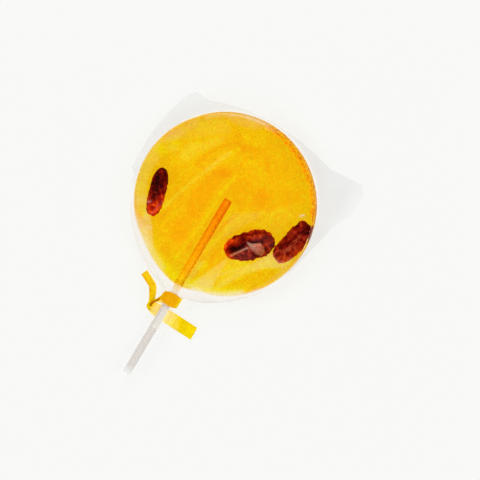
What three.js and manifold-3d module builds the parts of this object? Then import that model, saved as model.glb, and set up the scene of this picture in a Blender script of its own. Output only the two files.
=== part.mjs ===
// A flat round hard-candy lollipop with three dried berries set into it, on a thin round stick.
// A clear film bag wraps the candy and a flat yellow twist tie gathers the bag round the stick.
// It lies on its back: the origin is on the surface under the candy's centre, +Y runs along the
// stick towards the candy, +Z is up and all lengths are millimetres.
import * as THREE from "three";
import { mergeVertices } from "three/addons/utils/BufferGeometryUtils.js";
import Module from "manifold-3d";

const wasm = await Module();
wasm.setup();

// Driving dimensions
const CLEARANCE = 0.3;
const CANDY = { radius: 30, thickness: 6.2, edgeRound: 0.9, sides: 72 };
const STICK = { radius: 1.4, length: 70, pastCentre: 1.5, sides: 24 };
const FILM = { wall: 0.4, slack: 0.5, finHalf: 0.3, neckRadius: 2.6, widestStep: 5 };
const TIE = { thickness: 0.4, neckY: -37.7, stepsPerSpan: 5 };

// Heights that follow from them, counted from the surface the bag lies on
const CANDY_BOTTOM = FILM.wall + CLEARANCE;
const CANDY_TOP = CANDY_BOTTOM + CANDY.thickness;
const CANDY_MIDDLE = (CANDY_BOTTOM + CANDY_TOP) / 2;
const BAG_HALF_HEIGHT = (CANDY_TOP + FILM.slack + FILM.wall) / 2;

// Berries: centre and lengthwise direction in plan, half length, half width, half depth, how much
// narrower the far end is, and the height that the top stands over the candy's face
const BERRIES = {
  berry_left: { at: [-21.2, -8.7], along: [-0.25, 0.97], half: [8.5, 3.3, 2.4], taper: 0.06, proud: 0 },
  berry_middle: { at: [14, -7.8], along: [0.74, 0.67], half: [8.6, 4.8, 2.7], taper: -0.12, proud: 0.1 },
  berry_right: { at: [25.4, 0.5], along: [0.18, 0.98], half: [8.5, 3.4, 2.4], taper: -0.06, proud: 0.1 },
};

// The bag's outline in plan outside the round stretch that follows the candy. It starts below the
// left fin, passes the two corners of the closed end and ends where the right fin meets the candy.
const ROUND_MARGIN = 1.5;
const BAG_OUTLINE = [
  [-33.3, -6.3],
  [-33.4, 4.6],
  [-32.5, 12],
  [-30.8, 19],
  [-28.6, 25],
  [-26.8, 26.6],
  [-22, 26.4],
  [-17, 28.3],
  [-10, 30.2],
  [0, 31.5],
  [11, 30.8],
  [24, 28.2],
  [35.4, 29.1],
  [37.9, 26.5],
  [37.4, 18],
  [34.6, 12],
  [32.4, 2],
  [31.3, -3.5],
];
// Where the film leaves the candy for the neck, left and right of the stick
const FUNNEL = [
  [25, -20.4],
  [18.3, -27.5],
  [10.7, -33],
  [6, -34.5],
  [0, -34.6],
  [-7, -34.4],
  [-11.6, -33],
  [-15.1, -30.9],
  [-21.2, -25.3],
  [-26.9, -18.2],
  [-31.1, -10.7],
  [-31.2, -7.3],
];

// Sections of the gathered neck and the skirt under the tie: distance along the stick, sideways
// shift, half width, half height and depth of the pleats
const NECK_SECTIONS = [
  { y: -27.5, shift: 0, wide: 9.5, high: 3.6, pleat: 0 },
  { y: -31, shift: 0.3, wide: 7.2, high: 3.4, pleat: 0.05 },
  { y: -33.4, shift: 0.3, wide: 4.8, high: 3, pleat: 0.08 },
  { y: -35, shift: 0, wide: FILM.neckRadius, high: FILM.neckRadius, pleat: 0.03 },
  { y: -40.2, shift: 0, wide: FILM.neckRadius, high: FILM.neckRadius, pleat: 0.03 },
  { y: -42.5, shift: 1.3, wide: 4.6, high: 2.5, pleat: 0.05 },
  { y: -45, shift: 1.6, wide: 5.7, high: 2.5, pleat: 0.06 },
  { y: -49, shift: 1.9, wide: 6.3, high: 2.4, pleat: 0.08 },
];
const NECK_SIDES = 54;
const PLEATS = 9;

// The twist tie from its lower right end to its upper left end. Each point has the direction that
// the face next to the neck looks in and the strip's width, which is less where it is twisted. The
// wrap round the neck has a turn in degrees, a shift along the stick and a width.
const TIE_LOWER_END = [
  { at: [12.8, -44.7, 1.3], face: [-0.05, 0, 1], width: 4.7 },
  { at: [7.5, -44.8, 0.85], face: [-0.05, 0, 1], width: 4.8 },
  { at: [1, -44.8, 0.6], face: [0, 0, 1], width: 4.8 },
  { at: [-2.6, -44.7, 0.8], face: [0, 0.15, 0.98], width: 3.8 },
  { at: [-4.9, -44.5, 1.65], face: [0.1, 0.8, 0.6], width: 2.2 },
  { at: [-5.2, -43.4, 1.75], face: [0.98, 0.1, 0.1], width: 1.9 },
  { at: [-4.1, -41.9, 1.5], face: [0.6, -0.6, 0.5], width: 2 },
  { at: [-2.1, -40.3, 0.85], face: [0.1, -0.2, 0.96], width: 3 },
];
const TIE_WRAP = [
  { turn: -98, shift: -1.2, width: 4.2 },
  { turn: -60, shift: -0.3, width: 4.7 },
  { turn: -20, shift: 0.1, width: 4.8 },
  { turn: 20, shift: 0.1, width: 4.8 },
  { turn: 58, shift: 0.1, width: 4.8 },
  { turn: 96, shift: 0, width: 4.6 },
  { turn: 130, shift: -0.5, width: 3.6 },
  { turn: 158, shift: -1.6, width: 1.5 },
];
const TIE_UPPER_END = [
  { at: [-3.4, -40.7, 4.3], face: [0.85, -0.5, -0.1], width: 1 },
  { at: [-4.3, -42.2, 4.1], face: [0.9, -0.35, 0.1], width: 1.4 },
  { at: [-5, -43.8, 3.9], face: [0.2, 0.9, 0.3], width: 1.8 },
  { at: [-5.5, -42.5, 3.8], face: [0.85, 0.35, 0.35], width: 2.8 },
  { at: [-6.1, -39.8, 3.6], face: [0.85, 0.4, 0.26], width: 4.4 },
  { at: [-7.6, -37.4, 3.4], face: [0.77, 0.55, 0.2], width: 4.8 },
  { at: [-9, -36.3, 3.4], face: [0.56, 0.78, 0.18], width: 4.8 },
  { at: [-12, -35.2, 3.6], face: [0.45, 0.84, 0.18], width: 4.8 },
];

const MATERIALS = {
  candy: new THREE.MeshStandardMaterial({
    color: 0xf4b408, roughness: 0.12, metalness: 0, transparent: true, opacity: 0.7,
  }),
  berry: new THREE.MeshStandardMaterial({ color: 0x4a0d0a, roughness: 0.45, metalness: 0 }),
  stick: new THREE.MeshStandardMaterial({ color: 0xe6e2dc, roughness: 0.6, metalness: 0 }),
  film: new THREE.MeshStandardMaterial({
    color: 0xf2f3f4, roughness: 0.15, metalness: 0, transparent: true, opacity: 0.25,
  }),
  tie: new THREE.MeshStandardMaterial({ color: 0xf3c60c, roughness: 0.4, metalness: 0 }),
};

// A closed geometry as a solid that can be joined and cut
function solidOf(geometry) {
  const bare = geometry.clone();
  bare.deleteAttribute("normal");
  bare.deleteAttribute("uv");
  const merged = mergeVertices(bare, 1e-4);
  const vertProperties = merged.attributes.position.array;
  const triVerts = new Uint32Array(merged.index.array);
  return new wasm.Manifold(new wasm.Mesh({ numProp: 3, vertProperties, triVerts }));
}

function geometryOf(solid) {
  const mesh = solid.getMesh();
  const geometry = new THREE.BufferGeometry();
  geometry.setAttribute("position", new THREE.BufferAttribute(mesh.vertProperties, 3));
  geometry.setIndex(new THREE.BufferAttribute(mesh.triVerts, 1));
  geometry.computeVertexNormals();
  return geometry;
}

// A closed surface through rings of equally many points, with a fan at either end
function closedSkin(rings) {
  const count = rings[0].length;
  const middleOf = (ring) => ring.reduce((sum, p) => sum.add(p), new THREE.Vector3()).divideScalar(count);
  const points = [middleOf(rings[0]), ...rings.flat(), middleOf(rings.at(-1))];
  const last = points.length - 1;
  const corner = (ring, i) => 1 + ring * count + (i % count);
  const faces = [];
  for (let i = 0; i < count; i++) {
    faces.push(0, corner(0, i + 1), corner(0, i));
    for (let ring = 0; ring + 1 < rings.length; ring++) {
      const [a, b] = [corner(ring, i), corner(ring, i + 1)];
      const [c, d] = [corner(ring + 1, i), corner(ring + 1, i + 1)];
      faces.push(a, b, c, b, d, c);
    }
    faces.push(last, corner(rings.length - 1, i), corner(rings.length - 1, i + 1));
  }
  const geometry = new THREE.BufferGeometry().setFromPoints(points);
  geometry.setIndex(faces);
  return geometry;
}

// A round slab lying flat with rounded edges
function roundSlab(radius, bottom, top, edgeRound, sides) {
  const outline = new THREE.Path();
  outline.moveTo(0, bottom);
  outline.lineTo(radius - edgeRound, bottom);
  outline.absarc(radius - edgeRound, bottom + edgeRound, edgeRound, -Math.PI / 2, 0, false);
  outline.absarc(radius - edgeRound, top - edgeRound, edgeRound, 0, Math.PI / 2, false);
  outline.lineTo(0, top);
  return new THREE.LatheGeometry(outline.getPoints(4), sides).rotateX(Math.PI / 2);
}

// A round rod along the stick's line, between two distances from the candy's centre
function rodAlongStick(radius, from, to, sides) {
  const rod = new THREE.CylinderGeometry(radius, radius, to - from, sides);
  return rod.translate(0, (from + to) / 2, CANDY_MIDDLE);
}

// A dried berry: an ellipsoid that narrows to one end, with shrivelled ridges along it
function berryGeometry({ at, along, half, taper, proud }, grow, ridge, [around, lengthways]) {
  const [length, width, depth] = half.map((h) => h + grow);
  const berry = new THREE.SphereGeometry(1, around, lengthways);
  const place = berry.attributes.position;
  const centre = new THREE.Vector3(at[0], at[1], CANDY_TOP + proud - half[2]);
  const lengthwise = new THREE.Vector3(along[0], along[1], 0).normalize();
  const crosswise = new THREE.Vector3(-lengthwise.y, lengthwise.x, 0);
  const point = new THREE.Vector3();
  for (let i = 0; i < place.count; i++) {
    point.fromBufferAttribute(place, i);
    const turn = Math.atan2(point.z, point.x);
    const girth = Math.hypot(point.x, point.z);
    const shrunk = 1 - ridge * girth * (0.5 + 0.5 * Math.sin(7 * turn + 3 * point.y + at[0]));
    const narrowed = (1 - taper * point.y) * shrunk;
    const moved = centre.clone();
    moved.addScaledVector(lengthwise, point.y * length);
    moved.addScaledVector(crosswise, point.x * width * narrowed);
    moved.z += point.z * depth * shrunk;
    place.setXYZ(i, moved.x, moved.y, moved.z);
  }
  return turnedOut(berry);
}

// The same geometry with its faces pointing out
function turnedOut(geometry) {
  const solid = solidOf(geometry);
  if (solid.volume() < 0) {
    const index = geometry.index.array;
    for (let i = 0; i < index.length; i += 3) [index[i + 1], index[i + 2]] = [index[i + 2], index[i + 1]];
  }
  return geometry;
}

// How far the bag's outline is from the candy's centre, in a direction of the plan
function outlineReach(angle) {
  const [dx, dy] = [Math.cos(angle), Math.sin(angle)];
  let reach = CANDY.radius + ROUND_MARGIN;
  for (const line of [BAG_OUTLINE, FUNNEL]) {
    for (let i = 0; i + 1 < line.length; i++) {
      const [[ax, ay], [bx, by]] = [line[i], line[i + 1]];
      const [ex, ey] = [bx - ax, by - ay];
      const det = dx * ey - dy * ex;
      const share = (ax * dy - ay * dx) / det;
      const distance = (ax * ey - ay * ex) / det;
      if (share >= 0 && share <= 1 && distance > 0) reach = Math.max(reach, distance);
    }
  }
  return reach;
}

// The directions of the outline's corners, with even steps between them
function outlineDirections() {
  const corners = [...BAG_OUTLINE, ...FUNNEL].map(([x, y]) => Math.atan2(y, x)).sort((a, b) => a - b);
  const widest = THREE.MathUtils.degToRad(FILM.widestStep);
  return corners.flatMap((start, i) => {
    const end = i + 1 < corners.length ? corners[i + 1] : corners[0] + 2 * Math.PI;
    const steps = Math.max(Math.ceil((end - start) / widest), 1);
    return Array.from({ length: steps }, (_, k) => start + ((end - start) * k) / steps);
  });
}

// The film's profile in one direction: flat over the candy, then down to the fin. level runs from
// 0 over the candy to 1 where the two sheets meet. inset moves the point into the film's wall.
function filmPoint(reach, level, inset) {
  const shoulder = CANDY.radius - CANDY.edgeRound + 0.1;
  const drop = Math.min(0.86 * (reach - shoulder), 7);
  const full = 1.2 + THREE.MathUtils.clamp((5 - drop) / 2.4, 0, 1);
  const span = BAG_HALF_HEIGHT - FILM.finHalf;
  const heightAt = (s) => FILM.finHalf + span * Math.max(1 - s ** full, 0) ** (1 / full);
  const fall = (heightAt(Math.min(level + 0.01, 1)) - heightAt(Math.max(level - 0.01, 0))) / (0.02 * drop);
  const steep = level > 0 ? fall : 0;
  const size = Math.hypot(steep, 1);
  return [shoulder + drop * level + (inset * steep) / size, heightAt(level) - inset / size];
}

// The droop of the fins towards their tips
function finDroop(radius) {
  return -0.012 * Math.max(radius - CANDY.radius - ROUND_MARGIN, 0) ** 2;
}

// The bag round the candy, or with an inset the room inside it
function bagPillow(inset, levels, finShares) {
  const directions = outlineDirections();
  const ringOf = (side, pointOf) =>
    directions.map((angle) => {
      const [radius, height] = pointOf(outlineReach(angle));
      const z = BAG_HALF_HEIGHT + side * height + finDroop(radius);
      return new THREE.Vector3(radius * Math.cos(angle), radius * Math.sin(angle), z);
    });
  const flat = [0.5].map((share) => () => [share * CANDY.radius, BAG_HALF_HEIGHT - inset]);
  const sloping = levels.map((level) => (reach) => filmPoint(reach, level, inset));
  const fin = finShares.map((share) => (reach) => {
    const [start] = filmPoint(reach, 1, 0);
    return [start + (reach - start) * share, FILM.finHalf];
  });
  const upper = [...flat, ...sloping, ...fin];
  const lower = [...upper].reverse();
  return closedSkin([...upper.map((p) => ringOf(1, p)), ...lower.map((p) => ringOf(-1, p))]);
}

// The pleated neck and skirt, or with an inset the room inside them
function neckLoft(sections, inset) {
  const rings = sections.map(({ y, shift, wide, high, pleat }) =>
    Array.from({ length: NECK_SIDES }, (_, i) => {
      const turn = (2 * Math.PI * i) / NECK_SIDES;
      const fold = 1 + pleat * Math.cos(PLEATS * turn);
      const x = shift + (wide * fold - inset) * Math.cos(turn);
      const z = CANDY_MIDDLE + (high * fold - inset) * Math.sin(turn);
      return new THREE.Vector3(x, y, z);
    }),
  );
  return turnedOut(closedSkin(rings));
}

function filmBag() {
  const bag = solidOf(turnedOut(bagPillow(0, [0, 0.35, 0.65, 0.85, 0.96], [0, 1])));
  const room = solidOf(turnedOut(bagPillow(FILM.wall, [0, 0.35, 0.65, 0.85], [])));
  const neck = solidOf(neckLoft(NECK_SECTIONS, 0));
  const bore = solidOf(rodAlongStick(STICK.radius + CLEARANCE, -60, -20, STICK.sides));
  const funnelRoom = solidOf(neckLoft(NECK_SECTIONS.slice(0, 3), FILM.wall));
  const hem = NECK_SECTIONS.at(-1);
  const pastHem = { ...hem, y: hem.y - 1 };
  const skirtRoom = solidOf(neckLoft([...NECK_SECTIONS.slice(5), pastHem], FILM.wall));
  const outside = bag.add(neck);
  return geometryOf(outside.subtract(room).subtract(funnelRoom).subtract(bore).subtract(skirtRoom));
}

function candyDisc() {
  let disc = solidOf(turnedOut(roundSlab(CANDY.radius, CANDY_BOTTOM, CANDY_TOP, CANDY.edgeRound, CANDY.sides)));
  const socket = rodAlongStick(
    STICK.radius + CLEARANCE, -CANDY.radius - 5, STICK.pastCentre + CLEARANCE, STICK.sides,
  );
  disc = disc.subtract(solidOf(socket));
  for (const berry of Object.values(BERRIES)) {
    disc = disc.subtract(solidOf(berryGeometry(berry, CLEARANCE + 0.1, 0, [18, 12])));
  }
  return geometryOf(disc);
}

// The tie's stations in order: the lower end, the wrap under the neck and back over it, the upper end
function tieStations() {
  const wrapRadius = FILM.neckRadius * 1.04 + CLEARANCE + TIE.thickness / 2;
  const wrap = TIE_WRAP.map(({ turn, shift, width }) => {
    const angle = THREE.MathUtils.degToRad(turn);
    const outward = [Math.cos(angle), 0, Math.sin(angle)];
    return {
      at: [wrapRadius * outward[0], TIE.neckY + shift, CANDY_MIDDLE + wrapRadius * outward[2]],
      face: outward.map((c) => -c),
      width,
    };
  });
  return [...TIE_LOWER_END, ...wrap, ...TIE_UPPER_END];
}

// A flat strip along a smooth line through the stations
function tieStrip() {
  const stations = tieStations();
  const curveOf = (points) => new THREE.CatmullRomCurve3(points, false, "centripetal");
  const line = curveOf(stations.map((s) => new THREE.Vector3(...s.at)));
  const faces = curveOf(stations.map((s) => new THREE.Vector3(...s.face)));
  const spans = stations.length - 1;
  const steps = spans * TIE.stepsPerSpan;
  const rings = Array.from({ length: steps + 1 }, (_, i) => {
    const centre = line.getPoint(i / steps);
    const tangent = line.getTangent(i / steps);
    const face = faces.getPoint(i / steps);
    face.addScaledVector(tangent, -face.dot(tangent)).normalize();
    const across = new THREE.Vector3().crossVectors(tangent, face);
    const before = Math.min(Math.floor(i / TIE.stepsPerSpan), spans - 1);
    const share = i / TIE.stepsPerSpan - before;
    const half = THREE.MathUtils.lerp(stations[before].width, stations[before + 1].width, share) / 2;
    return [[1, 1], [-1, 1], [-1, -1], [1, -1]].map(([a, b]) =>
      centre.clone().addScaledVector(across, a * half).addScaledVector(face, (b * TIE.thickness) / 2),
    );
  });
  return turnedOut(closedSkin(rings));
}

function piece(name, geometry, material) {
  const mesh = new THREE.Mesh(geometry, material);
  mesh.name = name;
  return mesh;
}

const lollipop = new THREE.Group();
lollipop.add(piece("candy", candyDisc(), MATERIALS.candy));
for (const [name, berry] of Object.entries(BERRIES)) {
  lollipop.add(piece(name, berryGeometry(berry, 0, 0.12, [22, 14]), MATERIALS.berry));
}
const stickRod = rodAlongStick(STICK.radius, STICK.pastCentre - STICK.length, STICK.pastCentre, STICK.sides);
lollipop.add(piece("stick", stickRod, MATERIALS.stick));
lollipop.add(piece("film_bag", filmBag(), MATERIALS.film));
lollipop.add(piece("twist_tie", tieStrip(), MATERIALS.tie));

export default lollipop;
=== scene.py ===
# The looks of a clear amber lollipop with dried berries, wrapped in film and tied with a twist tie.
# Sizes are in millimetres and are turned into metres when a piece is finished.
import math
import random

import bmesh
import bpy
import numpy as np
from mathutils import Matrix, Vector, noise


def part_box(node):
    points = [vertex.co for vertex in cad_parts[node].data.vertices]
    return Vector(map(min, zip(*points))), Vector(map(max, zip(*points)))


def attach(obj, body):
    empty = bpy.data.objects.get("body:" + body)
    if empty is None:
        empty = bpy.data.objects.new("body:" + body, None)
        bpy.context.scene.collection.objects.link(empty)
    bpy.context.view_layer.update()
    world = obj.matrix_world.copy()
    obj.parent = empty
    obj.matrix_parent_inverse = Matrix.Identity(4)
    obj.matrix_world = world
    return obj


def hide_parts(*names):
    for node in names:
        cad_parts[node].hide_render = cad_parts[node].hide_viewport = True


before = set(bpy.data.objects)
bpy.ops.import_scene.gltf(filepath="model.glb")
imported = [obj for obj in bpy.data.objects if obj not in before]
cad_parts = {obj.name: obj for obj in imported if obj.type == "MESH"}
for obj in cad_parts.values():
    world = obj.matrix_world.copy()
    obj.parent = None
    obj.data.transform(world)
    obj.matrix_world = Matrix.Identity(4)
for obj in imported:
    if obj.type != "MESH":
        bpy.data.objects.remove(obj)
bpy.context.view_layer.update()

MM = 0.001

# The berries' skins bend the same way each run
noise.seed_set(3)

BLACK = (0, 0, 0, 1)
WHITE = (1, 1, 1, 1)
# Points closer than this become one, and an edge this close to a height lies on it
MERGE = 1e-4
NEAR = 0.01

# Candy: its box in the frame gives the disc
CANDY_LOW, CANDY_HIGH = (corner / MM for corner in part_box("candy"))
CANDY_RADIUS = CANDY_HIGH.x
CANDY_MIDDLE = (CANDY_LOW.z + CANDY_HIGH.z) / 2
# The roundings of its rims, the steps round it and up its wall, the rings under it and on its top, how
# far from the rim these end, and how far the top waves
CANDY_EDGE = 0.12
CANDY_LOWER_EDGE = 0.03
CANDY_STEPS = 420
WALL_STEPS = 8
UNDER_RINGS = 24
CANDY_RINGS = 96
TOP_INSET = 0.6
TOP_WAVE = 0.05
# How far outside the disc the skin of its wall starts and ends, and how uneven it is
WALL_SKIN = (0.03, 0.22)
WALL_GRAIN = 0.0016
# Beads inside the rim: how many, their sizes, how far they stay from the wall and from the top, where
# they start and over how many degrees they spread
RIM_BEADS = 36
BEAD_SIZES = (0.28, 0.48)
BEAD_WALL_GAP = 0.1
BEAD_TOP_GAP = 0.2
BEADS_FROM = 25
BEADS_OVER = 66
# Air bubbles: how many, how many of them are small, the sizes of small and large ones, how far they stay
# from the candy's faces and the stick, and how much the berries are grown to keep them off
BUBBLES = 420
SMALL_SHARE = 0.85
SMALL_SIZES = (0.1, 0.2)
LARGE_SIZES = (0.25, 0.45)
BUBBLE_GAP = 0.9
BUBBLE_TOP_GAP = 0.7
BUBBLE_STICK_GAP = 0.5
BERRY_GROWTH = 1.2
# The cast rim spreads a little past the solid's, more so where the stick leaves it: how far it is pulled
# out there, and over which width at the stick's left and right
DISC_RADIUS = CANDY_RADIUS + 0.15
DISC_SHIFT = Vector((-0.04, -0.5, 0))
NECK_PULL = 1.1
PULL_WIDTHS = (8.0, 4.5)

# Marks in plan that more than one list uses: an outline like a lens at the upper left, and the outline
# and the line of the glare on the middle berry
LENS = [(-18.5, 5.4), (-20.6, 5.6), (-20.6, 8.4), (-19.8, 11.6), (-17.9, 13), (-16, 12.4), (-16.2, 9.5),
        (-17, 7)]
GLARE = [(12.9, -6.6), (14.8, -6.2), (17, -4.6), (18.8, -5.3), (19.7, -6.3), (19.6, -8.3), (17.7, -8.5),
         (15.5, -8)]
GLARE_LINE = [(10.7, -13.5), (12.5, -10.8), (14.1, -8.3)]

# Marks in the candy, in plan: how much brighter or deeper the amber is there, how soft the
# edge is, and the corners of the patch. Most paler marks lie under the film's slanted folds and creases
# and are painted sheen from them; the rest only make the amber brighter or deeper
FLOW_PATCHES = [
    # Deep amber left of the stick
    (-0.15, 0.8, [(-10.3, -7.5), (-11, -2), (-9.7, 3), (-8.5, 7.7), (-6.5, 10), (-3, 11.5), (-2.3, 9.6),
                  (-4.5, 6.7), (-4.8, 2.6), (-4.6, -2.3), (-4.7, -8.3), (-7, -10.2)]),
    (-0.12, 0.5, [(-8.6, 7.2), (-6.5, 10), (-2.8, 11.2), (-3.2, 8.6), (-6.7, 6.5)]),
    (-0.13, 0.6, [(-11.3, -13.6), (-9, -11.3), (-5.4, -12), (-5.6, -15.5), (-6.3, -19.4),
                  (-10.2, -18.5)]),
    (-0.1, 0.6, [(-12, -22.5), (-10, -20.8), (-7.7, -22.8), (-5.7, -25.5), (-7.6, -25), (-10.2, -24.8)]),
    (-0.1, 0.5, [(-4.3, -18), (-3.2, -15.6), (-1.7, -17.5), (-2.2, -20), (-3.5, -19.8)]),
    # Deep amber over the stick's end and right of it
    (-0.12, 0.6, [(-5.6, 20), (-3, 21.5), (0, 21), (-1, 19.2), (-3.7, 18)]),
    (-0.13, 0.4, [(4, 21), (7, 19.2), (7.3, 17), (5.8, 17.7)]),
    (-0.08, 0.7, [(-0.3, 7), (1.2, 9), (4, 9), (6.6, 5.8), (6.6, 3), (3.7, 2), (0.8, 3.8)]),
    (-0.14, 0.8, [(6.6, 10.5), (8.7, 12.2), (11, 10), (12.3, 6.7), (10, 5.3), (7.7, 7.3)]),
    (-0.07, 1.5, [(8.6, 11), (19.3, 17.6), (23.5, 14.5), (19.6, 12), (12.8, 5.8), (8, 4)]),
    # Paler amber at the top and the upper left: painted sheen under the film's folds over the rim
    (0.08, 0.9, [(-8.5, 24.3), (-5, 27.3), (0.3, 27.7), (2.4, 24), (-0.3, 22), (-4, 22)]),
    (0.08, 1.0, [(-27.5, 8), (-23.3, 17.6), (-12.4, 25.7), (-8.3, 21.3), (-12.8, 14.3), (-16.6, 6.2),
                 (-20.8, 1.2), (-24.2, 2.3)]),
    # A fan at the right: painted sheen under the film's folds that fan out from the neck
    (0.03, 0.3, [(6, 0.8), (12.3, 4.7), (19.2, 11.4), (22.8, 10.5), (21.7, 7), (20.4, 0.8), (15, 0),
                 (10.6, -3), (7.2, -4)]),
    # Paler amber at the left, the lower left and the bottom: painted sheen under the film's folds over
    # the rim
    (0.13, 1.2, [(-29.6, 2.8), (-29.3, 7.7), (-24.4, 11.5), (-22.2, 9), (-25.2, 4)]),
    (0.1, 1.2, [(-22, -17.2), (-19.4, -15.7), (-14.3, -19), (-9.8, -22.9), (-12.3, -25.3),
                (-17.2, -22.9)]),
    (0.1, 0.8, [(3.5, -27.6), (9.8, -27.2), (15.4, -24), (20, -19.8), (21.2, -21.3), (15.7, -26),
                (9, -29.5), (3, -30)]),
    (0.07, 1.5, [(-21.4, -16.3), (-22.7, -10.5), (-19.3, -7.6), (-15.8, -10.1), (-16.9, -15.1)]),
    # Lemon tones at the bottom, along the left rim and in the lens: painted sheen under the film's folds
    # below the berries, over the rim and in the lens
    (0.2, 0.6, [(2.2, -21), (5, -19), (5.7, -20.7), (4.8, -23.2), (3, -24)]),
    (0.18, 0.3, [(10.5, -14.5), (10.9, -24.5), (8, -26.5), (3.7, -27.5), (6, -22.5), (8.3, -17.8)]),
    (0.2, 0.8, [(10.2, -15), (18.7, -10.8), (25.2, -2), (29.2, -4.2), (27.7, -7.5), (19, -14.6),
                (16.4, -20.2), (12, -26.2)]),
    (0.16, 1.0, [(-24.5, -16.4), (-28, -12), (-30, -6), (-30.5, 0.5), (-28.6, 6.5), (-25.5, 4.6),
                 (-26, -0.8), (-25.8, -6.5), (-23, -12.7), (-19.4, -16.3), (-21, -18.5)]),
    (0.07, 0.8, LENS),
]
# Streaks that arch over the stick's end and fan out beside it, the paler ones painted sheen under the
# film's creases: how much, the half width and the line
FLOW_STREAKS = [
    (-0.06, 1.8, [(-7.2, 16.7), (-0.4, 21.6), (7.3, 19.8), (11.5, 14.7)]),
    (0.16, 0.8, [(-16.5, -11), (-14.8, -5.2), (-13, 0.2), (-10.4, 7), (-8.1, 13), (-6.7, 15.8),
                 (-5, 18.4)]),
    (0.1, 1.4, [(-7.5, 12.6), (-5.2, 16), (-3.2, 15.2)]),
    (-0.14, 0.7, [(-14.4, 6.4), (-13.2, 11.4), (-10.7, 15.4), (-7.8, 19), (-5.3, 20.5)]),
    (0.16, 0.7, [(-2.5, 0), (-3, -9.8), (-3.7, -14.4), (-4, -19.2), (-4.8, -24)]),
    (0.18, 0.65, [(-3, 2), (-1.8, 6), (-1.3, 9.5)]),
    (-0.1, 0.7, [(0, 9), (2.4, 10.7), (5.7, 9.3), (7.5, 7), (8.3, 4.2)]),
    (0.14, 0.6, [(-0.6, 15), (0.6, 17.2)]),
    (0.1, 0.6, [(0.7, 17), (4.5, 16.4), (6.3, 14.2)]),
    (0.07, 0.6, [(7.3, 19.8), (11.5, 14.7), (14.7, 9.8)]),
    (0.14, 0.5, [(3.3, 0.8), (3, -4.3)]),
    (-0.16, 0.45, [(4.3, -3.7), (3, -7.2), (2.2, -10.2)]),
    (0.14, 0.8, [(6.6, -1.6), (5.2, -6.7), (3.8, -11.4), (2.8, -15.8)]),
    (-0.14, 0.5, [(6.3, -13.6), (5.8, -16.2), (5.7, -19)]),
    (0.1, 0.5, [(7.6, -14), (7.4, -18.8)]),
    (-0.16, 0.4, [(8.7, -18.4), (6.8, -21.3), (5.2, -24.6)]),
    (0.1, 0.5, [(-12.4, -10.2), (-14.4, -17.7)]),
    (0.12, 0.5, [(-13, -18.6), (-12, -17.6)]),
    (-0.08, 0.6, [(-15, -9.6), (-15.7, -14.8)]),
    # Short stripes in the lens
    (0.13, 0.25, [(-19.9, 5.7), (-19.8, 8.9)]),
    (0.13, 0.25, [(-18.7, 6.1), (-18.8, 9.9)]),
    (0.14, 0.25, [(-18.2, 9.4), (-18.6, 12)]),
    (0.14, 0.25, [(-17.3, 9.3), (-17.3, 12.7)]),
    (0.1, 0.25, [(-21, 7), (-21, 8.9)]),
    # An arch over the berries at the right, with dark feet
    (0.12, 0.9, [(15.8, 2.7), (15.3, 5.5), (16.4, 7.7), (18.6, 9.1), (21, 9)]),
    (-0.18, 0.35, [(19.9, 10.4), (23, 9.2)]),
    (-0.12, 0.35, [(14.6, 6), (16, 1.6)]),
]

# Stick: its box gives the line and the thickness
STICK_LOW, STICK_HIGH = (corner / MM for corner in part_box("stick"))
STICK_RADIUS = STICK_HIGH.x
# How far the stick is off the middle at the disc's centre, and how much less for each millimetre below
STICK_OFF = 0.4
STICK_LEAN = 0.005
STICK_SIDES = 48
STICK_EDGE = 0.2

# Berries: centre and lengthwise direction in plan, half sizes, how much narrower the far end is, how
# high the top stands over the candy, how blunt the ends are, where the flesh at the near end gets thin
# and red, how red the left and the right edges are, how light the skin is and a seed for the wrinkles,
# then spots that are lighter or darker and spots that are redder: how much, the place along and across
# in half sizes and the spread both ways. The red is a painted glow of light shining through thin flesh
BERRIES = {
    "berry_left": dict(
        at=(-21.42, -8.8), along=(-0.27, 0.963), half=(8.35, 2.82, 2.4), taper=0.0, proud=0.0,
        blunt=2.8, red_end=0.42, red_edges=(0.3, 0.15), tone=-0.02, seed=3.0,
        spots=[(-0.22, 0.1, 0.0, 0.3, 0.45), (-0.14, 0.6, 0.0, 0.35, 0.7), (0.12, -0.85, 0.0, 0.3, 1.0)],
        red_spots=[(0.5, -0.25, 0.7, 0.28, 0.35), (1.2, -0.25, -0.75, 0.3, 0.42)],
    ),
    "berry_middle": dict(
        at=(14.22, -7.68), along=(0.7, 0.712), half=(8.8, 4.85, 2.7), taper=-0.06, proud=0.1,
        blunt=2.15, red_end=0.84, red_edges=(0.35, 0.2), tone=0.15, seed=11.0,
        spots=[
            (-0.65, -0.5, 0.06, 0.36, 0.26), (-0.35, 0.3, 0.2, 0.4, 0.12), (0.2, 0.45, 0.45, 0.3, 0.25),
            (0.3, 0.28, -0.18, 0.25, 0.25),
        ],
        red_spots=[(0.9, -0.72, 0.55, 0.28, 0.25), (0.3, 0.1, 0.8, 0.25, 0.2)],
    ),
    "berry_right": dict(
        at=(26.02, 1.0), along=(0.225, 0.974), half=(8.1, 3.55, 2.4), taper=-0.08, proud=0.1,
        blunt=3.6, red_end=0.86, red_edges=(0.2, 1.0), tone=0.27, seed=23.0,
        spots=[
            (-0.15, -0.55, 0.0, 0.25, 0.4), (-0.35, 0.75, 0.0, 0.35, 0.7), (0.12, 0.1, 0.0, 0.3, 0.5),
        ],
        red_spots=[(0.6, -0.7, -0.6, 0.3, 0.35), (0.4, 0.0, -0.9, 0.4, 0.25)],
    ),
}

# How fine a berry's skin is, and how far it may stand out past the disc
BERRY_DETAIL = 6
BERRY_PAST_RIM = 0.4

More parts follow.
